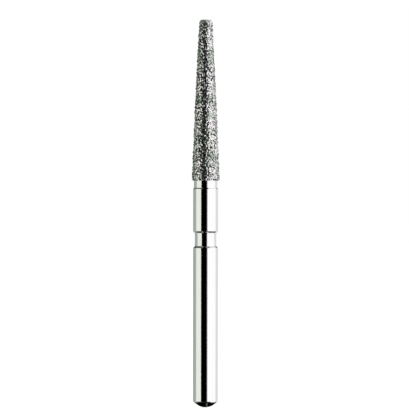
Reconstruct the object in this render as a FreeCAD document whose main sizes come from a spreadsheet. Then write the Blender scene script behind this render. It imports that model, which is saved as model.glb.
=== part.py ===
import FreeCAD, Part
import enum
import math
import os
import random
import Sketcher

# Tapered flat-end diamond bur with a 1.6 mm friction-grip shank.
# It is a steel blank turned in one piece, a nickel bond plated on the blank's tapered core,
# and the diamond grains that the bond holds. All lengths are in millimetres.
# The axis is Z. The shank's rounded end touches Z = 0 and the grinding head points up.

SIZES = [
    ("shank_diameter", 1.60, "friction-grip shank, and the collar above the ring groove"),
    ("shank_length", 10.18, "from the rounded end to the edge of the ring groove"),
    ("end_cone_angle", 60.0, "degrees between the axis and the shank's blunt end cone"),
    ("end_nose_radius", 0.70, "rounding at the middle of the end cone"),
    ("end_edge_radius", 0.12, "rounding between the end cone and the shank"),
    ("groove_depth", 0.108, "ring groove, at the foot of its 45 degree flanks"),
    ("groove_hollow", 0.010, "how much deeper the ring groove's floor is at its middle"),
    ("groove_floor", 0.844, "width of the ring groove's floor"),
    ("collar_length", 2.70, "full-width land between the ring groove and the neck"),
    ("step_length", 0.06, "sloping step from the collar down to the neck"),
    ("neck_diameter", 1.50, "bare neck, and the core where the coating starts"),
    ("neck_length", 0.47, "bare neck between the step and the coating"),
    ("head_length", 10.28, "coated length, over the tallest grains on the flat tip"),
    ("core_tip_diameter", 0.57, "steel core under the coating's flat tip"),
    ("bond_thickness", 0.095, "nickel between the steel and the outside"),
    ("tip_edge_radius", 0.10, "rounding of the bond's tip edge"),
    ("grain_height", 0.07, "how far the tallest grains stand out of the bond"),
    ("grain_width", 0.165, "the widest grains, across their roots"),
    ("grain_gap", 0.007, "least bare bond between the roots of two neighbours"),
]

# Heights along the axis, as formulas on the sizes: the collar's upper edge and the head's start.
COLLAR_END = (
    "sizes.shank_length + 2 * sizes.groove_depth + sizes.groove_floor + sizes.collar_length"
)
HEAD_START = COLLAR_END + " + sizes.step_length + sizes.neck_length"

# How a sketch names its level and upright axes, the points of a line or arc, which count from
# one, and its origin.
AXIS, LEVEL = enum.IntEnum("Line", ["AXIS", "LEVEL"], start=-2)
START, END, CENTRE = enum.IntEnum("Point", ["START", "END", "CENTRE"])
ORIGIN = (LEVEL, START)

# Grains follow each other round the head by the golden angle, the turn that spaces them most
# evenly. The nearest two are then at least this share of their mean spacing apart, as long as
# the innermost one on the flat tip lies this share of it from the axis.
GOLDEN_ANGLE = math.pi * (3 - math.sqrt(5))
CLOSEST_SHARE = 0.8
INNERMOST_SHARE = 0.5

# How the grains differ from each other.
GRAIN_SEED = 7
WIDTH_SHARES = (0.7, 1.0)  # of grain_width
HEIGHT_SHARES = (0.6, 1.0)  # of grain_height
CORNER_COUNTS = (3, 4, 4, 4, 5)  # a root's corners, most often four
CORNER_REACHES = (0.82, 1.0)  # from the root's middle to a corner, of half the grain's width
CORNER_TURN = 0.18  # most that a corner strays, of the angle between two even corners
PEAK_HEIGHTS = (2.2, 3.6)  # the point that the sides lean to, of the grain's height
PEAK_DRIFT = 0.2  # most that this point strays sideways, of the grain's width
FACET_DROPS = (0.0, 0.75)  # how far the top facet falls across the root, of the grain's height


def make_sheet(doc):
    """The sheet of driving dimensions, one named row each."""
    sheet = doc.addObject("Spreadsheet::Sheet", "sizes")
    for row, (name, value, note) in enumerate(SIZES, start=1):
        sheet.set(f"A{row}", name)
        sheet.set(f"B{row}", str(value))
        sheet.set(f"C{row}", note)
        sheet.setAlias(f"B{row}", name)
    doc.recompute()
    return sheet


def make_body(doc, name):
    body = doc.addObject("PartDesign::Body", name)
    body.Label = name
    return body


def profile_sketch(body, name):
    """An empty sketch on the body's XZ plane, where across is the radius and up is the axis."""
    sketch = body.newObject("Sketcher::SketchObject", name)
    plane = next(f for f in body.Origin.OriginFeatures if f.Role == "XZ_Plane")
    sketch.AttachmentSupport = [(plane, "")]
    sketch.MapMode = "FlatFace"
    return sketch


def add_line(sketch, start, end):
    line = Part.LineSegment(FreeCAD.Vector(*start, 0), FreeCAD.Vector(*end, 0))
    return sketch.addGeometry(line, False)


def add_arc(sketch, centre, radius, from_angle, to_angle):
    circle = Part.Circle(FreeCAD.Vector(*centre, 0), FreeCAD.Vector(0, 0, 1), radius)
    return sketch.addGeometry(Part.ArcOfCircle(circle, from_angle, to_angle), False)


def join(sketch, outline):
    """Joins each line or arc of an outline's list to the next, end to start."""
    for first, second in zip(outline, outline[1:]):
        sketch.addConstraint(Sketcher.Constraint("Coincident", first, END, second, START))


def bind(sketch, name, kind, where, formula):
    """Adds a dimension to a sketch and ties it to a formula on the sheet."""
    index = sketch.addConstraint(Sketcher.Constraint(kind, *where, 1.0))
    sketch.renameConstraint(index, name)
    sketch.setExpression(f"Constraints.{name}", formula)


def bind_radius(sketch, name, line, end, formula):
    """Sets how far a line's end lies from the axis."""
    bind(sketch, name, "DistanceX", (*ORIGIN, line, end), formula)


def bind_height(sketch, name, ends, formula):
    """Sets how far the second of two points lies above the first."""
    bind(sketch, name, "DistanceY", ends, formula)


def revolve(body, sketch, kind, name):
    """Turns a profile round the axis: a Revolution adds material and a Groove cuts it away."""
    feature = body.newObject(f"PartDesign::{kind}", name)
    feature.Profile = sketch
    feature.ReferenceAxis = (sketch, ["V_Axis"])
    feature.Angle = 360.0
    body.Tip = feature
    sketch.Visibility = False
    return feature


def round_edges(shape):
    """Each full round edge of a turned shape: its height, its radius and its name."""
    return [
        (edge.Curve.Center.z, edge.Curve.Radius, f"Edge{number}")
        for number, edge in enumerate(shape.Edges, start=1)
        if not edge.Degenerated and isinstance(edge.Curve, Part.Circle)
    ]


def fillet(body, feature, edge_name, name, formula):
    """Rounds one edge of a body's last feature."""
    rounding = body.newObject("PartDesign::Fillet", name)
    rounding.Base = (feature, [edge_name])
    rounding.setExpression("Radius", formula)
    body.Tip = rounding


def turned_profile(body, size):
    """The blank's half outline without its ring groove, from the blunt end to the core's tip."""
    radius = size["shank_diameter"] / 2
    neck_radius = size["neck_diameter"] / 2
    tip_radius = size["core_tip_diameter"] / 2
    slope = math.radians(size["end_cone_angle"])
    nose = size["end_nose_radius"]
    groove_length = 2 * size["groove_depth"] + size["groove_floor"]
    collar_end = size["shank_length"] + groove_length + size["collar_length"]
    neck_start = collar_end + size["step_length"]
    core_start = neck_start + size["neck_length"]
    core_end = core_start + size["head_length"] - size["grain_height"] - size["bond_thickness"]
    nose_end = (nose * math.cos(slope), nose * (1 - math.sin(slope)))
    cone_end = (radius, nose_end[1] + (radius - nose_end[0]) / math.tan(slope))

    sketch = profile_sketch(body, "turned_profile")
    rounded = add_arc(sketch, (0, nose), nose, -math.pi / 2, -slope)
    cone = add_line(sketch, nose_end, cone_end)
    wall = add_line(sketch, cone_end, (radius, collar_end))
    step = add_line(sketch, (radius, collar_end), (neck_radius, neck_start))
    neck = add_line(sketch, (neck_radius, neck_start), (neck_radius, core_start))
    core = add_line(sketch, (neck_radius, core_start), (tip_radius, core_end))
    tip = add_line(sketch, (tip_radius, core_end), (0, core_end))
    axis = add_line(sketch, (0, core_end), (0, 0))
    join(sketch, [cone, wall, step, neck, core, tip, axis, rounded])
    sketch.addConstraint(Sketcher.Constraint("Tangent", rounded, END, cone, START))
    sketch.addConstraint(Sketcher.Constraint("Coincident", rounded, START, *ORIGIN))
    sketch.addConstraint(Sketcher.Constraint("PointOnObject", rounded, CENTRE, AXIS))
    for upright in (wall, neck, axis):
        sketch.addConstraint(Sketcher.Constraint("Vertical", upright))
    sketch.addConstraint(Sketcher.Constraint("Horizontal", tip))

    bind(sketch, "nose", "Radius", (rounded,), "sizes.end_nose_radius")
    bind(sketch, "slope", "Angle", (cone, START, AXIS, START), "sizes.end_cone_angle * 1 deg")
    bind_height(sketch, "collar_end", (*ORIGIN, wall, END), COLLAR_END)
    bind_height(sketch, "step", (step, START, step, END), "sizes.step_length")
    bind_height(sketch, "neck", (neck, START, neck, END), "sizes.neck_length")
    bind_height(
        sketch,
        "core",
        (core, START, core, END),
        "sizes.head_length - sizes.grain_height - sizes.bond_thickness",
    )
    bind_radius(sketch, "shank_radius", wall, END, "sizes.shank_diameter / 2")
    bind_radius(sketch, "neck_radius", neck, START, "sizes.neck_diameter / 2")
    bind_radius(sketch, "core_tip_radius", core, END, "sizes.core_tip_diameter / 2")
    return sketch


def groove_profile(body, size):
    """The ring groove's section: 45 degree flanks and a slightly hollow floor."""
    wall = size["shank_diameter"] / 2
    depth = size["groove_depth"]
    hollow = size["groove_hollow"]
    low = size["shank_length"]
    high = low + 2 * depth + size["groove_floor"]
    half_floor = size["groove_floor"] / 2
    curve = (half_floor**2 + hollow**2) / (2 * hollow)
    spread = math.asin(half_floor / curve)
    centre = (wall - depth - hollow + curve, (low + high) / 2)

    sketch = profile_sketch(body, "groove_profile")
    upper = add_line(sketch, (wall, high), (wall - depth, high - depth))
    floor = add_arc(sketch, centre, curve, math.pi - spread, math.pi + spread)
    lower = add_line(sketch, (wall - depth, low + depth), (wall, low))
    mouth = add_line(sketch, (wall, low), (wall, high))
    join(sketch, [upper, floor, lower, mouth, upper])
    sketch.addConstraint(Sketcher.Constraint("Vertical", mouth))
    sketch.addConstraint(Sketcher.Constraint("Vertical", floor, START, floor, END))
    bind_height(sketch, "groove_start", (*ORIGIN, lower, END), "sizes.shank_length")
    bind_height(sketch, "lower_flank", (lower, END, lower, START), "sizes.groove_depth")
    bind_height(sketch, "floor", (floor, END, floor, START), "sizes.groove_floor")
    bind_height(sketch, "upper_flank", (upper, END, upper, START), "sizes.groove_depth")
    bind_radius(sketch, "wall_radius", lower, END, "sizes.shank_diameter / 2")
    bind_radius(
        sketch, "floor_radius", lower, START, "sizes.shank_diameter / 2 - sizes.groove_depth"
    )
    bind(
        sketch,
        "floor_curve",
        "Radius",
        (floor,),
        "(sizes.groove_floor ^ 2 / 4 + sizes.groove_hollow ^ 2) / (2 * sizes.groove_hollow)",
    )
    return sketch


def make_steel_blank(doc, size):
    """The shank, collar, neck and tapered core, turned from one bar of stainless steel."""
    body = make_body(doc, "steel_blank")
    turned = revolve(body, turned_profile(body, size), "Revolution", "turned")
    doc.recompute()
    grooved = revolve(body, groove_profile(body, size), "Groove", "ring_groove")
    doc.recompute()
    if grooved.Shape.Volume >= turned.Shape.Volume:
        raise RuntimeError("the ring groove cuts nothing")
    wall_edge = min(
        edge
        for edge in round_edges(grooved.Shape)
        if math.isclose(edge[1], size["shank_diameter"] / 2, abs_tol=1e-6)
    )
    fillet(body, grooved, wall_edge[2], "end_rounding", "sizes.end_edge_radius")
    return body


def bond_profile(body, size):
    """Half section of the plated cup, from its rear ring over the taper to its flat tip."""
    thickness = size["bond_thickness"]
    inner_base = size["neck_diameter"] / 2
    inner_tip = size["core_tip_diameter"] / 2
    outer_end = size["head_length"] - size["grain_height"]
    inner_end = outer_end - thickness

    sketch = profile_sketch(body, "bond_profile")
    rear = add_line(sketch, (inner_base, 0), (inner_base + thickness, 0))
    outside = add_line(sketch, (inner_base + thickness, 0), (inner_tip + thickness, outer_end))
    tip = add_line(sketch, (inner_tip + thickness, outer_end), (0, outer_end))
    middle = add_line(sketch, (0, outer_end), (0, inner_end))
    seat = add_line(sketch, (0, inner_end), (inner_tip, inner_end))
    inside = add_line(sketch, (inner_tip, inner_end), (inner_base, 0))
    join(sketch, [rear, outside, tip, middle, seat, inside, rear])
    for level in (rear, tip, seat):
        sketch.addConstraint(Sketcher.Constraint("Horizontal", level))
    sketch.addConstraint(Sketcher.Constraint("Vertical", middle))
    sketch.addConstraint(Sketcher.Constraint("PointOnObject", middle, START, AXIS))
    sketch.addConstraint(Sketcher.Constraint("PointOnObject", rear, START, LEVEL))
    bind_height(
        sketch,
        "outside",
        (outside, START, outside, END),
        "sizes.head_length - sizes.grain_height",
    )
    bind_height(sketch, "thickness", (middle, END, middle, START), "sizes.bond_thickness")
    bind_radius(sketch, "inner_base", rear, START, "sizes.neck_diameter / 2")
    bind_radius(
        sketch, "outer_base", rear, END, "sizes.neck_diameter / 2 + sizes.bond_thickness"
    )
    bind_radius(sketch, "inner_tip", seat, END, "sizes.core_tip_diameter / 2")
    bind_radius(
        sketch, "outer_tip", outside, END, "sizes.core_tip_diameter / 2 + sizes.bond_thickness"
    )
    return sketch


def make_nickel_bond(doc, size):
    """The plated layer: a thin cup that fits the core face to face."""
    body = make_body(doc, "nickel_bond")
    body.setExpression("Placement.Base.z", HEAD_START)
    plating = revolve(body, bond_profile(body, size), "Revolution", "plating")
    doc.recompute()
    tip_edge = max(round_edges(plating.Shape))
    fillet(body, plating, tip_edge[2], "tip_rounding", "sizes.tip_edge_radius")
    return body


def bond_surface(size, run):
    """Radius, height and slope of the bond's outside, a run along it from its rear edge.

    The slope is the angle of the outward direction above level. Past the middle of the
    flat tip the radius is below zero.
    """
    base = size["neck_diameter"] / 2 + size["bond_thickness"]
    tip = size["core_tip_diameter"] / 2 + size["bond_thickness"]
    end = size["head_length"] - size["grain_height"]
    rounding = size["tip_edge_radius"]
    taper = math.atan((base - tip) / end)
    centre_height = end - rounding
    centre_radius = base - rounding / math.cos(taper) - centre_height * math.tan(taper)
    taper_run = (centre_height + rounding * math.sin(taper)) / math.cos(taper)
    edge_run = rounding * (math.pi / 2 - taper)
    if run < taper_run:
        return base - run * math.sin(taper), run * math.cos(taper), taper
    if run < taper_run + edge_run:
        slope = taper + (run - taper_run) / rounding
        radius = centre_radius + rounding * math.cos(slope)
        return radius, centre_height + rounding * math.sin(slope), slope
    return centre_radius - (run - taper_run - edge_run), end, math.pi / 2


def make_grain(rng, size, site):
    """One crystal: an uneven pyramid on a flat root, cut off by a tilted facet.

    The site is the middle of its root, the outward direction and the direction around the
    head, and the widest that the root may be. The root has three to five corners, and the
    sides lean to one peak, so that each facet is flat.
    """
    point, outward, around, width = site
    across = outward.cross(around)
    height = size["grain_height"] * rng.uniform(*HEIGHT_SHARES)
    corners = rng.choice(CORNER_COUNTS)
    first = rng.uniform(0, 2 * math.pi)
    root = []
    for corner in range(corners):
        angle = first + 2 * math.pi * (corner + rng.uniform(-CORNER_TURN, CORNER_TURN)) / corners
        reach = width / 2 * rng.uniform(*CORNER_REACHES)
        side = around * math.cos(angle) + across * math.sin(angle)
        root.append(point + side * reach)
    peak = point + outward * (height * rng.uniform(*PEAK_HEIGHTS))
    peak += around * (width * rng.uniform(-PEAK_DRIFT, PEAK_DRIFT))
    peak += across * (width * rng.uniform(-PEAK_DRIFT, PEAK_DRIFT))

    # The facet is as high as the grain over one rim of the root, and lower towards the other.
    turn = rng.uniform(0, 2 * math.pi)
    downhill = around * math.cos(turn) + across * math.sin(turn)
    facing = outward + downhill * (height * rng.uniform(*FACET_DROPS) / width)
    high_point = point + outward * height - downhill * (width / 2)
    top = []
    for corner in root:
        to_peak = peak - corner
        top.append(corner + to_peak * ((high_point - corner).dot(facing) / to_peak.dot(facing)))

    outlines = [root, top]
    for this in range(corners):
        after = (this + 1) % corners
        outlines.append([root[this], root[after], top[after], top[this]])
    faces = [Part.Face(Part.makePolygon(outline + outline[:1])) for outline in outlines]
    grain = Part.makeSolid(Part.makeShell(faces))
    if grain.Volume < 0:
        grain.reverse()
    return grain


def make_diamond_grit(doc, size):
    """The diamond grains: one solid for each, spread over the bond's taper, edge and flat tip.

    A grain's root lies on the plane that touches the bond under its middle. A narrow grain
    drifts off its site by up to what it leaves free there, so that the grains look strewn.
    """
    pitch = (size["grain_width"] + size["grain_gap"]) / CLOSEST_SHARE
    rng = random.Random(GRAIN_SEED)
    grains = []
    run = size["grain_width"] / 2
    site_radius = bond_surface(size, run)[0]
    while site_radius > INNERMOST_SHARE * pitch:
        width = size["grain_width"] * rng.uniform(*WIDTH_SHARES)
        drift = (size["grain_width"] - width) / 2 * rng.uniform(0.0, 1.0)
        bearing = rng.uniform(0, 2 * math.pi)
        turn = len(grains) * GOLDEN_ANGLE + drift * math.sin(bearing) / site_radius
        radius, height, slope = bond_surface(size, run + drift * math.cos(bearing))
        away = FreeCAD.Vector(math.cos(turn), math.sin(turn), 0)
        around = FreeCAD.Vector(-math.sin(turn), math.cos(turn), 0)
        point = away * radius + FreeCAD.Vector(0, 0, height)
        outward = away * math.cos(slope) + FreeCAD.Vector(0, 0, math.sin(slope))
        grains.append(make_grain(rng, size, (point, outward, around, width)))
        run += pitch ** 2 / (2 * math.pi * site_radius)
        site_radius = bond_surface(size, run)[0]

    grit = doc.addObject("Part::Feature", "diamond_grit")
    grit.Label = "diamond_grit"
    grit.Shape = Part.makeCompound(grains)
    grit.setExpression("Placement.Base.z", HEAD_START)
    return grit


def make_all():
    doc = FreeCAD.newDocument("dental_bur")
    sheet = make_sheet(doc)
    size = {name: float(sheet.get(name)) for name, value, note in SIZES}
    blank = make_steel_blank(doc, size)
    bond = make_nickel_bond(doc, size)
    grit = make_diamond_grit(doc, size)
    doc.recompute()
    return doc, [blank, bond, grit]


doc, pieces = make_all()
for item in doc.Objects:
    if {"Invalid", "Error"} & set(item.State):
        raise RuntimeError(f"{item.Label} failed: {item.State}")
for piece in pieces:
    if piece.Shape.isNull() or not piece.Shape.isValid():
        raise RuntimeError(f"{piece.Label} has no valid shape")
os.makedirs("parts", exist_ok=True)
for piece in pieces:
    piece.Shape.exportStep(os.path.join("parts", f"{piece.Label}.step"))
    box = piece.Shape.optimalBoundingBox(False)
    print(piece.Label, "solids:", len(piece.Shape.Solids), "volume:", round(piece.Shape.Volume, 4))
    print("  across:", round(box.XLength, 4), "heights:", round(box.ZMin, 4), round(box.ZMax, 4))
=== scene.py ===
import math
import random

import bpy
from mathutils import Matrix, Vector, kdtree, noise


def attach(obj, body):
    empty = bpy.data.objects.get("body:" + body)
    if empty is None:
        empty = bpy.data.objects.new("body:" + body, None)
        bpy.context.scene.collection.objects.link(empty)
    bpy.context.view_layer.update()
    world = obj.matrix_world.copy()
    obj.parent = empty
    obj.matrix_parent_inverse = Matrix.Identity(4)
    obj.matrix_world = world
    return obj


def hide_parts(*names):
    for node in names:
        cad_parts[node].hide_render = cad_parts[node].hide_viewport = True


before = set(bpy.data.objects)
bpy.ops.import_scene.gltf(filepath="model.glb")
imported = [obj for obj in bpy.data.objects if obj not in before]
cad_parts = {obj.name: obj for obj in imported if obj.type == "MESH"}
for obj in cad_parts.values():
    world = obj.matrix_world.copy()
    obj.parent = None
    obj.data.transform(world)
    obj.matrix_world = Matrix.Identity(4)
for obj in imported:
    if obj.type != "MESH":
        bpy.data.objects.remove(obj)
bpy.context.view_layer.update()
bpy.ops.object.select_all(action="DESELECT")


# The steel blank: the shank with its blunt end and ring groove, the collar, the step, the bare
# neck, and the tapered core inside the coating. It is one bar of stainless steel, turned on a
# lathe and polished. The sizes of a piece are in millimetres until it is done.
shank_radius = 0.80
shank_length = 10.18
end_slope = math.radians(53)
nose_radius = 0.975
end_edge_radius = 0.12
groove_depth = 0.108
groove_hollow = 0.010
groove_floor = 0.844
collar_length = 2.70
step_length = 0.06
neck_radius = 0.75
neck_length = 0.47
core_tip_radius = 0.285
head_length = 10.28
bond_thickness = 0.095
grain_height = 0.07

millimetre = 0.001
blank_sides = 160
nose_steps = 6
end_edge_steps = 8
groove_floor_steps = 8
broken_edge = 0.008
broken_edge_segments = 2
sharp_from = math.radians(25)
smooth_up_to = math.radians(12)
edge_support = 0.03
merge_distance = 0.0001

groove_end = shank_length + 2 * groove_depth + groove_floor
collar_end = groove_end + collar_length
neck_start = collar_end + step_length
head_start = neck_start + neck_length
core_end = head_start + head_length - grain_height - bond_thickness


def arc(centre, radius, first, last, steps):
    """Points along an arc of an outline, as (radius, height), from one angle to another."""
    angles = [first + (last - first) * step / steps for step in range(steps + 1)]
    return [
        (centre[0] + radius * math.cos(angle), centre[1] + radius * math.sin(angle))
        for angle in angles
    ]


def draw_out(outline):
    """Draws the selected ring on through the rest of an outline, ring by ring, to a pole."""
    for (radius, height), (next_radius, next_height) in zip(outline, outline[1:]):
        bpy.ops.mesh.extrude_region_move(
            TRANSFORM_OT_translate={"value": (0, 0, next_height - height)}
        )
        share = next_radius / radius
        bpy.ops.transform.resize(value=(share, share, 1), center_override=(0, 0, 0))


def turn_on_lathe(name, outline, sides):
    """Turns an outline round Z. It runs from a pole to a pole."""
    bpy.ops.object.select_all(action="DESELECT")
    radius, height = outline[1]
    bpy.ops.mesh.primitive_circle_add(vertices=sides, radius=radius, location=(0, 0, height))
    piece = bpy.context.object
    piece.name = name
    bpy.ops.object.transform_apply(location=True, rotation=False, scale=False)
    bpy.ops.object.mode_set(mode="EDIT")
    bpy.ops.mesh.select_mode(type="VERT")
    bpy.ops.mesh.select_all(action="SELECT")
    draw_out(outline[1:])
    bpy.ops.mesh.select_all(action="DESELECT")
    bpy.ops.object.mode_set(mode="OBJECT")
    for vertex in piece.data.vertices[:sides]:
        vertex.select = True
    bpy.ops.object.mode_set(mode="EDIT")
    draw_out([outline[1], outline[0]])
    bpy.ops.mesh.select_all(action="SELECT")
    bpy.ops.mesh.remove_doubles(threshold=merge_distance)
    bpy.ops.mesh.normals_make_consistent(inside=False)
    bpy.ops.mesh.select_all(action="DESELECT")
    bpy.ops.object.mode_set(mode="OBJECT")
    return piece


def to_metres(piece):
    """Brings a piece from millimetres to metres, with its place in its mesh."""
    bpy.ops.object.select_all(action="DESELECT")
    piece.select_set(True)
    bpy.context.view_layer.objects.active = piece
    piece.scale = (millimetre, millimetre, millimetre)
    bpy.ops.object.transform_apply(location=True, rotation=True, scale=True)


cone_low = (nose_radius * math.cos(end_slope), nose_radius * (1 - math.sin(end_slope)))
cone_high = cone_low[1] + (shank_radius - cone_low[0]) / math.tan(end_slope)
wall_start = cone_high + end_edge_radius * math.tan(end_slope / 2)
end_edge_centre = (shank_radius - end_edge_radius, wall_start)
floor_radius = shank_radius - groove_depth
half_floor = groove_floor / 2
floor_curve = (half_floor**2 + groove_hollow**2) / (2 * groove_hollow)
floor_spread = math.asin(half_floor / floor_curve)
floor_angles = (math.pi + floor_spread, math.pi - floor_spread)
floor_middle = shank_length + groove_depth + half_floor
floor_centre = (floor_radius - groove_hollow + floor_curve, floor_middle)
blank_outline = [
    *arc((0, nose_radius), nose_radius, -math.pi / 2, -end_slope, nose_steps),
    *arc(end_edge_centre, end_edge_radius, -end_slope, 0, end_edge_steps),
    (shank_radius, wall_start + edge_support),
    (shank_radius, shank_length - edge_support),
    (shank_radius, shank_length),
    *arc(floor_centre, floor_curve, *floor_angles, groove_floor_steps),
    (shank_radius, groove_end),
    (shank_radius, groove_end + edge_support),
    (shank_radius, collar_end - edge_support),
    (shank_radius, collar_end),
    (neck_radius, neck_start),
    (neck_radius, neck_start + edge_support),
    (neck_radius, head_start),
    (core_tip_radius, core_end),
    (0, core_end),
]
blank = turn_on_lathe("steel_blank_turned", blank_outline, blank_sides)
bpy.ops.object.modifier_add(type="BEVEL")
broken_edges = blank.modifiers[-1]
broken_edges.width = broken_edge
broken_edges.segments = broken_edge_segments
broken_edges.limit_method = "ANGLE"
broken_edges.angle_limit = sharp_from
bpy.ops.object.modifier_apply(modifier=broken_edges.name)
bpy.ops.object.shade_smooth_by_angle(angle=smooth_up_to)
to_metres(blank)


class Shade:
    """A socket of a material's nodes. Sums on it add Math nodes, and add() any other node."""

    def __init__(self, socket):
        self.socket = socket

    def add(self, kind, settings, sockets, output=0):
        """Adds a node, with its settings first and then its sockets' values or links."""
        node = self.socket.id_data.nodes.new(kind)
        for name, value in settings.items():
            setattr(node, name, value)
        feed(node, sockets)
        return Shade(node.outputs[output])

    def maths(self, operation, first, second):
        return self.add("ShaderNodeMath", {"operation": operation}, {0: first, 1: second})

    def __add__(self, other):
        return self.maths("ADD", self, other)

    def __sub__(self, other):
        return self.maths("SUBTRACT", self, other)

    def __rsub__(self, other):
        return self.maths("SUBTRACT", other, self)

    def __mul__(self, other):
        return self.maths("MULTIPLY", self, other)

    def __gt__(self, other):
        return self.maths("GREATER_THAN", self, other)

    __radd__ = __add__
    __rmul__ = __mul__

    def between(self, low, high):
        """0 up to low, 1 from high on, and a smooth rise between them."""
        settings = {"interpolation_type": "SMOOTHSTEP"}
        return self.add("ShaderNodeMapRange", settings, {0: self, 1: low, 2: high})

    def stretched(self, x, y, z):
        """This vector with each direction multiplied."""
        settings = {"operation": "MULTIPLY"}
        return self.add("ShaderNodeVectorMath", settings, {0: self, 1: (x, y, z)})

    def height(self):
        """How far up this place lies."""
        return self.add("ShaderNodeSeparateXYZ", {}, {0: self}, output=2)

    def noise(self, scale, detail, roughness=0.5):
        """Noise at this place."""
        sockets = {"Vector": self, "Scale": scale, "Detail": detail, "Roughness": roughness}
        return self.add("ShaderNodeTexNoise", {}, sockets)

    def bump(self, distance):
        """The surface's direction, where this value stands up by a distance in metres."""
        sockets = {"Strength": 1.0, "Distance": distance, "Height": self}
        return self.add("ShaderNodeBump", {}, sockets)

    def attribute(self, name):
        """A value that the mesh holds, on its points or its faces."""
        return self.add("ShaderNodeAttribute", {"attribute_name": name}, {}, output=2)

    def mix(self, first, second):
        """A colour that goes from the first to the second as this value goes from 0 to 1."""
        sockets = {0: self, 6: first, 7: second}
        return self.add("ShaderNodeMix", {"data_type": "RGBA"}, sockets, output=2)


def feed(node, sockets):
    """Sets or links a node's sockets, by name or number."""
    for name, value in sockets.items():
        if isinstance(value, Shade):
            node.id_data.links.new(value.socket, node.inputs[name])
        else:
            node.inputs[name].default_value = value


def new_finish(name):
    """A new material, its surface node, and the place on the piece in millimetres."""
    finish = bpy.data.materials.new(name)
    finish.use_nodes = True
    surface = finish.node_tree.nodes["Principled BSDF"]
    coordinates = finish.node_tree.nodes.new("ShaderNodeTexCoord")
    to_millimetres = 1 / millimetre
    place = Shade(coordinates.outputs["Object"])
    place = place.stretched(to_millimetres, to_millimetres, to_millimetres)
    return finish, surface, place


# The polish leaves fine rings from the lathe, faint smears, and hairline scratches that run round
# the shank. The groove's flanks were only cut, so they are rougher, and they are painted darker, a
# painted shade in the groove.
clean_steel = (0.80, 0.80, 0.80, 1)
smeared_steel = (0.76, 0.765, 0.755, 1)
shaded_cut_steel = (0.70, 0.71, 0.70, 1)
smear_cover = 0.35
polish_roughness = 0.075
smear_roughness = 0.035
hairline_roughness = 0.03
flank_roughness = 0.10
ring_bump = 1.2e-7
hairline_bump = 0.4
flank_margins = (0.004, 0.012)
groove_margin = 0.2

steel, steel_surface, place = new_finish("polished_steel")
rings = place.stretched(0.6, 0.6, 45).noise(scale=1.0, detail=3.0)
hairlines = place.stretched(2.5, 2.5, 160).noise(scale=1.0, detail=1.0).between(0.62, 0.72)
smear_place = place.stretched(1.0, 1.0, 0.45)
smears = smear_place.noise(scale=1.6, detail=4.0, roughness=0.6).between(0.35, 0.75)
flat_place = place.stretched(1, 1, 0)
from_axis = place.add("ShaderNodeVectorMath", {"operation": "LENGTH"}, {0: flat_place}, output=1)
height = place.height()
near_groove = height.between(shank_length - groove_margin, shank_length) * (
    1.0 - height.between(groove_end, groove_end + groove_margin)
)
off_floor = from_axis.between(floor_radius + flank_margins[0], floor_radius + flank_margins[1])
at_wall = from_axis.between(shank_radius - flank_margins[1], shank_radius - flank_margins[0])
flanks = near_groove * off_floor * (1.0 - at_wall)
smear_blur = smears * smear_roughness
hairline_blur = hairlines * hairline_roughness
flank_blur = flanks * flank_roughness
# The flanks' darker colour is painted shade in the groove. Their extra roughness comes from the
# cutting.
feed(
    steel_surface,
    {
        "Base Color": (smears * smear_cover).mix(flanks.mix(clean_steel, shaded_cut_steel), smeared_steel),
        "Metallic": 1.0,
        "Roughness": polish_roughness + smear_blur + hairline_blur + flank_blur,
        "Normal": (rings + hairlines * hairline_bump).bump(ring_bump),
    },
)
blank.data.materials.append(steel)
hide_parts("steel_blank")
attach(blank, "root")


# The nickel bond: the layer that is plated on the steel core and grips the diamonds. The metal
# climbs a little way up each grain as it is deposited, so the layer is all small hills and
# hollows. It is a thin closed cup, which sits face to face on the core.
bond_base = neck_radius + bond_thickness
bond_tip = core_tip_radius + bond_thickness
bond_length = head_length - grain_height
bond_end = head_start + bond_length
tip_rounding = 0.10
belly = 0.022
bond_sides = 150
bond_rings = 285
tip_rounding_steps = 4
tip_rings = 8

taper = math.atan((bond_base - bond_tip) / bond_length)
rounding_height = bond_end - tip_rounding
rounding_radius = (
    bond_base - tip_rounding / math.cos(taper) - (bond_length - tip_rounding) * math.tan(taper)
)
wall_top = (
    rounding_radius + tip_rounding * math.cos(taper),
    rounding_height + tip_rounding * math.sin(taper),
)


def bulge(climbed):
    """How far the wall stands out from a straight taper, at a share of the way up it."""
    return belly * 4 * climbed * (1 - climbed)


wall = [
    (
        bond_base + (wall_top[0] - bond_base) * climbed + bulge(climbed),
        head_start + (wall_top[1] - head_start) * climbed,
    )
    for climbed in (ring / bond_rings for ring in range(bond_rings + 1))
]
rounding_centre = (rounding_radius, rounding_height)
rounding = arc(rounding_centre, tip_rounding, taper, math.pi / 2, tip_rounding_steps)
flat_tip = [
    (rounding_radius * (1 - ring / tip_rings), bond_end) for ring in range(1, tip_rings + 1)
]
bond_outline = [
    (0, core_end),
    (core_tip_radius, core_end),
    (neck_radius, head_start),
    *wall,
    *rounding[1:],
    *flat_tip,
]
bond = turn_on_lathe("nickel_bond_plated", bond_outline, bond_sides)

# Where the grains sit: thrown at random on the layer's outside, none nearer to another than the
# grain spacing, as they are when loose grit is tacked on.
grain_spacing = 0.146
bare_rear_edge = 0.055
throws = 70000
wall_run = (wall_top[1] - head_start) / math.cos(taper)
edge_run = tip_rounding * (math.pi / 2 - taper)
whole_run = wall_run + edge_run + rounding_radius
rng = random.Random(11)


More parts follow.
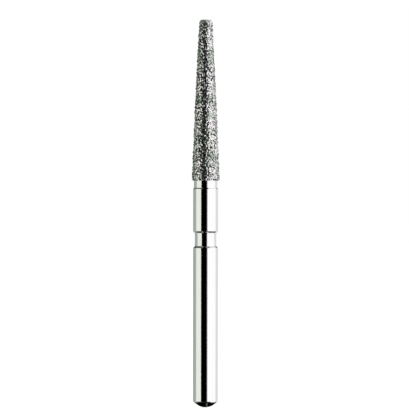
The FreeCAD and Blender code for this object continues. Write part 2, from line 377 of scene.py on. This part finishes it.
def on_bond(run, turn):
    """The point and outward direction on the bond's outside, a run up from its rear edge."""
    if run < wall_run:
        radius = bond_base - run * math.sin(taper) + bulge(run / wall_run)
        height = head_start + run * math.cos(taper)
        slope = taper
    elif run < wall_run + edge_run:
        slope = taper + (run - wall_run) / tip_rounding
        radius = rounding_radius + tip_rounding * math.cos(slope)
        height = rounding_height + tip_rounding * math.sin(slope)
    else:
        radius = whole_run - run
        height = bond_end
        slope = math.pi / 2
    away = Vector((math.cos(turn), math.sin(turn), 0))
    outward = away * math.cos(slope) + Vector((0, 0, math.sin(slope)))
    return away * radius + Vector((0, 0, height)), outward


sites = []
taken = {}
for throw in range(throws):
    run = rng.uniform(bare_rear_edge, whole_run)
    turn = rng.uniform(0, 2 * math.pi)
    keep = rng.uniform(0, bond_base)
    point, outward = on_bond(run, turn)
    if keep > math.hypot(point.x, point.y):
        continue
    cell = tuple(math.floor(length / grain_spacing) for length in point)
    neighbours = [
        other
        for dx in (-1, 0, 1)
        for dy in (-1, 0, 1)
        for dz in (-1, 0, 1)
        for other in taken.get((cell[0] + dx, cell[1] + dy, cell[2] + dz), [])
    ]
    if all((point - other).length > grain_spacing for other in neighbours):
        taken.setdefault(cell, []).append(point)
        sites.append((point, outward))

site_tree = kdtree.KDTree(len(sites))
for index, (point, outward) in enumerate(sites):
    site_tree.insert(point, index)
site_tree.balance()

# The metal climbs the grains, in a ragged slope that falls away from each one, and is uneven
# between them. Each point of the layer also keeps how far up a climb it is, for its finish.
climb_height = 0.038
climb_reach = 0.138
climb_curve = 0.8
climb_raggedness = 0.45
rag_scale = 10.5
hill_height = 0.012
hill_scale = 6.0
fine_hill_scale = 14.0
fine_hill_share = 0.5
layer_sink = 0.006
core_margin = 0.01
core_end_margin = 0.001
hills_smooth_up_to = math.radians(60)


def on_core(place):
    """Whether a point of the layer lies on the steel core."""
    climbed = (place.z - head_start) / (core_end - head_start)
    core_radius = neck_radius + (core_tip_radius - neck_radius) * climbed
    beside = math.hypot(place.x, place.y) < core_radius + core_margin
    return place.z < core_end + core_end_margin and beside


climbs = []
for vertex in bond.data.vertices:
    if on_core(vertex.co):
        climbs.append(1.0)
        continue
    ragged = 1 + climb_raggedness * noise.noise(vertex.co * rag_scale)
    climb = 0.0
    for _, _, distance in site_tree.find_range(vertex.co, climb_reach):
        climb = max(climb, max(1 - ragged * distance / climb_reach, 0) ** climb_curve)
    climbs.append(climb)
    hills = noise.noise(vertex.co * hill_scale)
    hills += fine_hill_share * noise.noise(vertex.co * fine_hill_scale)
    middle = Vector((0, 0, min(vertex.co.z, rounding_height)))
    outward = (vertex.co - middle).normalized()
    vertex.co += outward * (climb_height * climb + hill_height * hills - layer_sink)
bpy.ops.object.shade_smooth_by_angle(angle=hills_smooth_up_to)
climb_layer = bond.data.attributes.new("climb", "FLOAT", "POINT")
climb_layer.data.foreach_set("value", climbs)
to_metres(bond)

# The climbs are bright, or stained grey-green in patches, and the hollows between them are dull and
# painted dark, a painted shade between the grains. Towards the tip the coat is painted paler and
# less metallic, a painted light on the top of the head, so it scatters light where the rest mirrors
# it.
clean_nickel = (0.92, 0.865, 0.875, 1)
stained_nickel = (0.37, 0.445, 0.38, 1)
hollow_shade_nickel = (0.028, 0.038, 0.029, 1)
tip_light_colour = (0.52, 0.54, 0.50, 1)
stain_cover = 0.85
patchiness = 0.35
nickel_roughness = 0.09
nodule_roughness = 0.09
hollow_roughness = 0.3
hollow_dullness = 0.6
nodule_bump = 1.2e-6
tip_light_length = 0.35
most_tip_light = 0.7


def painted_tip_light(place):
    """How much painted light the tip gets at this place, from none below it to the most at its end.
    """
    return place.height().between(bond_end - tip_light_length, bond_end) * most_tip_light


nickel, nickel_surface, place = new_finish("plated_nickel")
nodules = place.noise(scale=38.0, detail=3.0, roughness=0.6)
stains = place.noise(scale=1.6, detail=3.0, roughness=0.55).between(0.40, 0.65)
patches = (place.noise(scale=8.0, detail=2.0) - 0.5) * patchiness
# The hollows between the climbs get a near-black colour: painted shade between the grains.
shaded_hollows = 1.0 - (place.attribute("climb") + patches).between(0.29, 0.52)
climb_colour = (stains * stain_cover).mix(clean_nickel, stained_nickel)
# Paler and less metallic towards the tip: painted light on the top of the head.
tip_light = painted_tip_light(place)
feed(
    nickel_surface,
    {
        "Base Color": tip_light.mix(shaded_hollows.mix(climb_colour, hollow_shade_nickel), tip_light_colour),
        "Metallic": (1.0 - shaded_hollows * hollow_dullness) * (1.0 - tip_light),
        "Roughness": nickel_roughness + nodules * nodule_roughness + shaded_hollows * hollow_roughness,
        "Normal": nodules.bump(nodule_bump),
    },
)
bond.data.materials.append(nickel)
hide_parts("nickel_bond")
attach(bond, "root")


# The diamond grit: blocky crystals that were crushed and sieved to one size, each sunk for more
# than half in the nickel. A few cleaved crystals are modelled and copied, each copy turned,
# sized and sunk in its own way.
crystal_kinds = 10
cuts = 8
cut_depths = (0.33, 0.46)
corner_merge = 0.03
crystal_widths = (0.168, 0.252)
crowding = 1.35
standing = (0.030, 0.072)
facet_spread = 0.15


def random_direction():
    """A direction, with all directions equally likely."""
    rise = rng.uniform(-1, 1)
    turn = rng.uniform(0, 2 * math.pi)
    level = math.sqrt(1 - rise * rise)
    return Vector((level * math.cos(turn), level * math.sin(turn), rise))


crystals = []
for kind in range(crystal_kinds):
    bpy.ops.object.select_all(action="DESELECT")
    bpy.ops.mesh.primitive_cube_add(size=1)
    crystal = bpy.context.object
    bpy.ops.object.mode_set(mode="EDIT")
    for cut in range(cuts):
        direction = random_direction()
        bpy.ops.mesh.select_all(action="SELECT")
        bpy.ops.mesh.bisect(
            plane_co=direction * rng.uniform(*cut_depths),
            plane_no=direction,
            use_fill=True,
            clear_outer=True,
        )
    bpy.ops.mesh.select_all(action="SELECT")
    bpy.ops.mesh.remove_doubles(threshold=corner_merge)
    bpy.ops.mesh.normals_make_consistent(inside=False)
    bpy.ops.object.mode_set(mode="OBJECT")
    reach = max(vertex.co.length for vertex in crystal.data.vertices)
    crystals.append((crystal.data.copy(), reach))
    bpy.data.objects.remove(crystal)

grains = []
for point, outward in sites:
    shape, reach = rng.choice(crystals)
    nearest = site_tree.find_n(point, 2)[1][2]
    width = min(rng.uniform(*crystal_widths), nearest * crowding)
    turned = random_direction().to_track_quat("Z", "Y")
    scale = width / 2 / reach
    mesh = shape.copy()
    mesh.transform(Matrix.LocRotScale(None, turned, Vector((scale, scale, scale))))
    top = max(vertex.co.dot(outward) for vertex in mesh.vertices)
    centre = point + outward * (rng.uniform(*standing) - top)
    mesh.transform(Matrix.Translation(centre))
    tone_layer = mesh.attributes.new("tone", "FLOAT", "FACE")
    grain_tone = rng.random()
    facet_tones = [
        grain_tone + rng.uniform(-facet_spread, facet_spread) for facet in mesh.polygons
    ]
    tone_layer.data.foreach_set("value", facet_tones)
    grain = bpy.data.objects.new("grain", mesh)
    bpy.context.scene.collection.objects.link(grain)
    grains.append(grain)
bpy.ops.object.select_all(action="DESELECT")
for grain in grains:
    grain.select_set(True)
grit = grains[0]
bpy.context.view_layer.objects.active = grit
bpy.ops.object.join()
grit.name = "diamond_grit_strewn"
bpy.ops.object.shade_flat()
to_metres(grit)

# The crystals run from nearly black to a pale grey-green, and the lightest facets flash.
dark_crystal = (0.020, 0.034, 0.024, 1)
light_crystal = (0.33, 0.42, 0.345, 1)
flash_colour = (0.84, 0.79, 0.80, 1)
flash_from = 0.80
crystal_gloss = 0.40
crystal_roughness = 0.12
cloud_roughness = 0.20
diamond_ior = 2.42

diamond, diamond_surface, place = new_finish("diamond_crystals")
tone = place.attribute("tone")
flash_patches = place.noise(scale=14.0, detail=1.0).between(0.35, 0.5)
flashes = (tone > flash_from) * flash_patches
clouds = place.noise(scale=16.0, detail=2.0, roughness=0.6)
crystal_colour = flashes.mix(tone.mix(dark_crystal, light_crystal), flash_colour)
# The grains are also painted paler and less metallic towards the tip: painted light on the top of
# the head.
tip_light = painted_tip_light(place)
feed(
    diamond_surface,
    {
        "Base Color": tip_light.mix(crystal_colour, tip_light_colour),
        "Metallic": (crystal_gloss + flashes * (1.0 - crystal_gloss)) * (1.0 - tip_light),
        "Roughness": crystal_roughness + clouds * cloud_roughness,
        "IOR": diamond_ior,
    },
)
grit.data.materials.append(diamond)
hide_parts("diamond_grit")
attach(grit, "root")


# The studio: a white floor, a soft lamp, and cards round the bur for its steel to mirror, which
# only reflections show. They are bright on both sides, with a dark gap where the camera stands.
def glow_card(name, colour):
    """The finish of a card that shines with one colour."""
    finish = bpy.data.materials.new(name)
    finish.use_nodes = True
    nodes = finish.node_tree.nodes
    nodes.clear()
    glow = nodes.new("ShaderNodeEmission")
    output = nodes.new("ShaderNodeOutputMaterial")
    finish.node_tree.links.new(glow.outputs[0], output.inputs[0])
    feed(glow, {"Color": (*colour, 1), "Strength": 1.0})
    return finish


def only_in_reflections(card):
    """Makes a card part of the stage, and hides it from all but reflections."""
    card.visible_camera = False
    card.visible_diffuse = False
    card.visible_transmission = False
    card.visible_volume_scatter = False
    card.visible_shadow = False


surround_radius = 0.15
surround_sides = 360
surround_height = 0.11
surround_foot = -0.03
# From one bearing to the next in degrees, 0 towards the camera and positive to its right, with
# how high each card reaches, whether it goes on across the floor, and its colour.
surround = [
    ("left_rear", -180, -128, 0.045, True, (0.36, 0.44, 0.39)),
    ("left_side", -128, -97, 0.045, True, (0.47, 0.51, 0.465)),
    ("left_front", -97, -43, 0.045, False, (1.0, 1.04, 0.97)),
    ("camera_gap", -43, 12, surround_height, False, (0.0, 0.0, 0.0)),
    ("gap_edge", 12, 18.5, 0.06, False, (0.35, 0.35, 0.35)),
    ("right_front", 18.5, 50, 0.065, False, (1.33, 1.33, 1.34)),
    ("right_side", 50, 105, surround_height, True, (1.24, 1.24, 1.25)),
    ("right_rear", 105, 180, 0.045, True, (0.87, 0.876, 0.90)),
]
for name, first, last, card_height, over_floor, colour in surround:
    bpy.ops.object.select_all(action="DESELECT")
    bpy.ops.mesh.primitive_cylinder_add(
        vertices=surround_sides,
        radius=surround_radius,
        depth=card_height - surround_foot,
        end_fill_type="TRIFAN",
        location=(0, 0, (card_height + surround_foot) / 2),
    )
    card = bpy.context.object
    card.name = name
    bpy.ops.object.transform_apply(location=True, rotation=False, scale=False)
    bpy.ops.object.mode_set(mode="EDIT")
    bpy.ops.mesh.select_mode(type="FACE")
    bpy.ops.mesh.select_all(action="DESELECT")
    bpy.ops.object.mode_set(mode="OBJECT")
    for face in card.data.polygons:
        bearing = math.degrees(math.atan2(face.center.x, -face.center.y))
        on_top = face.normal.z > 0.5
        on_floor = face.normal.z < -0.5
        face.select = on_top or (on_floor and not over_floor) or not first < bearing < last
    bpy.ops.object.mode_set(mode="EDIT")
    bpy.ops.mesh.delete(type="FACE")
    bpy.ops.object.mode_set(mode="OBJECT")
    card.data.materials.append(glow_card(name, colour))
    only_in_reflections(card)

# Level cards, with their middle, width, depth and colour. Faces of the steel that slope up, as the
# step and the groove's lower flank do, mirror the first three, and those that slope down mirror the
# rest, which lie just above the black foot card, a painted shade under the foot.
card_gap = 0.0001
above_foot = surround_foot + 2 * card_gap
top_left = (-0.099, 0, surround_height)
top_right = (0.099, 0, surround_height)
top_front = (0, -0.065, surround_height)
level_cards = [
    ("overhead_left", top_left, 0.13, 0.3, (0.13, 0.14, 0.13)),
    ("overhead_right", top_right, 0.13, 0.3, (1.0, 1.0, 1.0)),
    ("overhead_gap", top_front, 0.068, 0.17, (0.0, 0.0, 0.0)),
    ("below_left", (-0.029, 0.016, above_foot), 0.022, 0.04, (0.11, 0.12, 0.11)),
    ("below_right", (0.029, 0.016, above_foot), 0.022, 0.04, (0.25, 0.25, 0.25)),
    ("below_glint", (0.0028, 0.022, above_foot + card_gap), 0.0035, 0.03, (0.09, 0.10, 0.09)),
]
for name, middle, width, depth, colour in level_cards:
    bpy.ops.mesh.primitive_plane_add(size=1.0, location=middle)
    card = bpy.context.object
    card.name = name
    card.scale = (width, depth, 1)
    card.data.materials.append(glow_card(name, colour))
    only_in_reflections(card)

# A black card under the foot, seen only in reflections: painted shade where the bur stands on the
# floor.
foot_shade_radius = 0.040
foot_shade_middle = (0.010, 0.022, surround_foot + card_gap)
bpy.ops.mesh.primitive_circle_add(
    vertices=48, radius=foot_shade_radius, fill_type="NGON", location=foot_shade_middle
)
foot_shade_card = bpy.context.object
foot_shade_card.name = "foot_shade_card"
foot_shade_card.data.materials.append(glow_card("foot_shade_card", (0, 0, 0)))
only_in_reflections(foot_shade_card)

floor_size = 2.0
paper_grey = 0.45
paper_glow = 0.93
bpy.ops.mesh.primitive_plane_add(size=floor_size, location=(0, 0, 0))
floor = bpy.context.object
floor.name = "floor"
floor.visible_glossy = False
paper = bpy.data.materials.new("floor_paper")
paper.use_nodes = True
paper_surface = paper.node_tree.nodes["Principled BSDF"]
light_path = paper.node_tree.nodes.new("ShaderNodeLightPath")
feed(
    paper_surface,
    {
        "Base Color": (paper_grey, paper_grey, paper_grey, 1),
        "Roughness": 0.9,
        "Specular IOR Level": 0.0,
        "Emission Color": (1, 1, 1, 1),
        "Emission Strength": Shade(light_path.outputs["Is Camera Ray"]) * paper_glow,
    },
)
floor.data.materials.append(paper)

# The camera sees white past the floor. A dim light comes from all sides, and the steel mirrors
# almost nothing where there is no card.
soft_light = (0.22, 0.22, 0.22, 1)
mirrored_dark = (0.018, 0.019, 0.018, 1)
seen_white = (1, 1, 1, 1)
world = bpy.data.worlds.new("studio")
bpy.context.scene.world = world
world.use_nodes = True
backdrop = world.node_tree.nodes["Background"]
light_path = world.node_tree.nodes.new("ShaderNodeLightPath")
camera_ray = Shade(light_path.outputs["Is Camera Ray"])
glossy_ray = Shade(light_path.outputs["Is Glossy Ray"])
around_light = glossy_ray.mix(soft_light, mirrored_dark)
feed(backdrop, {"Color": camera_ray.mix(around_light, seen_white), "Strength": 1.0})

lamp_aim = Vector((0, 0, 0.012))
lamp_data = bpy.data.lights.new("soft_lamp", "AREA")
lamp_data.shape = "DISK"
lamp_data.size = 0.25
lamp_data.energy = 2.3
lamp = bpy.data.objects.new("soft_lamp", lamp_data)
lamp.location = (0.30, 0.02, 0.10)
lamp.rotation_euler = (lamp_aim - lamp.location).to_track_quat("-Z", "Y").to_euler()
lamp.visible_glossy = False
bpy.context.scene.collection.objects.link(lamp)

camera_roll = math.radians(-0.06)
camera_data = bpy.data.cameras.new("camera")
camera_data.lens = 345.1
camera_data.sensor_width = 36.0
camera_data.clip_start = 0.01
camera_data.clip_end = 10.0
camera = bpy.data.objects.new("camera", camera_data)
camera.location = (-0.000075, -0.25, 0.012945)
camera.rotation_euler = (math.pi / 2, camera_roll, 0)
bpy.context.scene.collection.objects.link(camera)
bpy.context.scene.camera = camera
bpy.context.scene.view_settings.view_transform = "Standard"
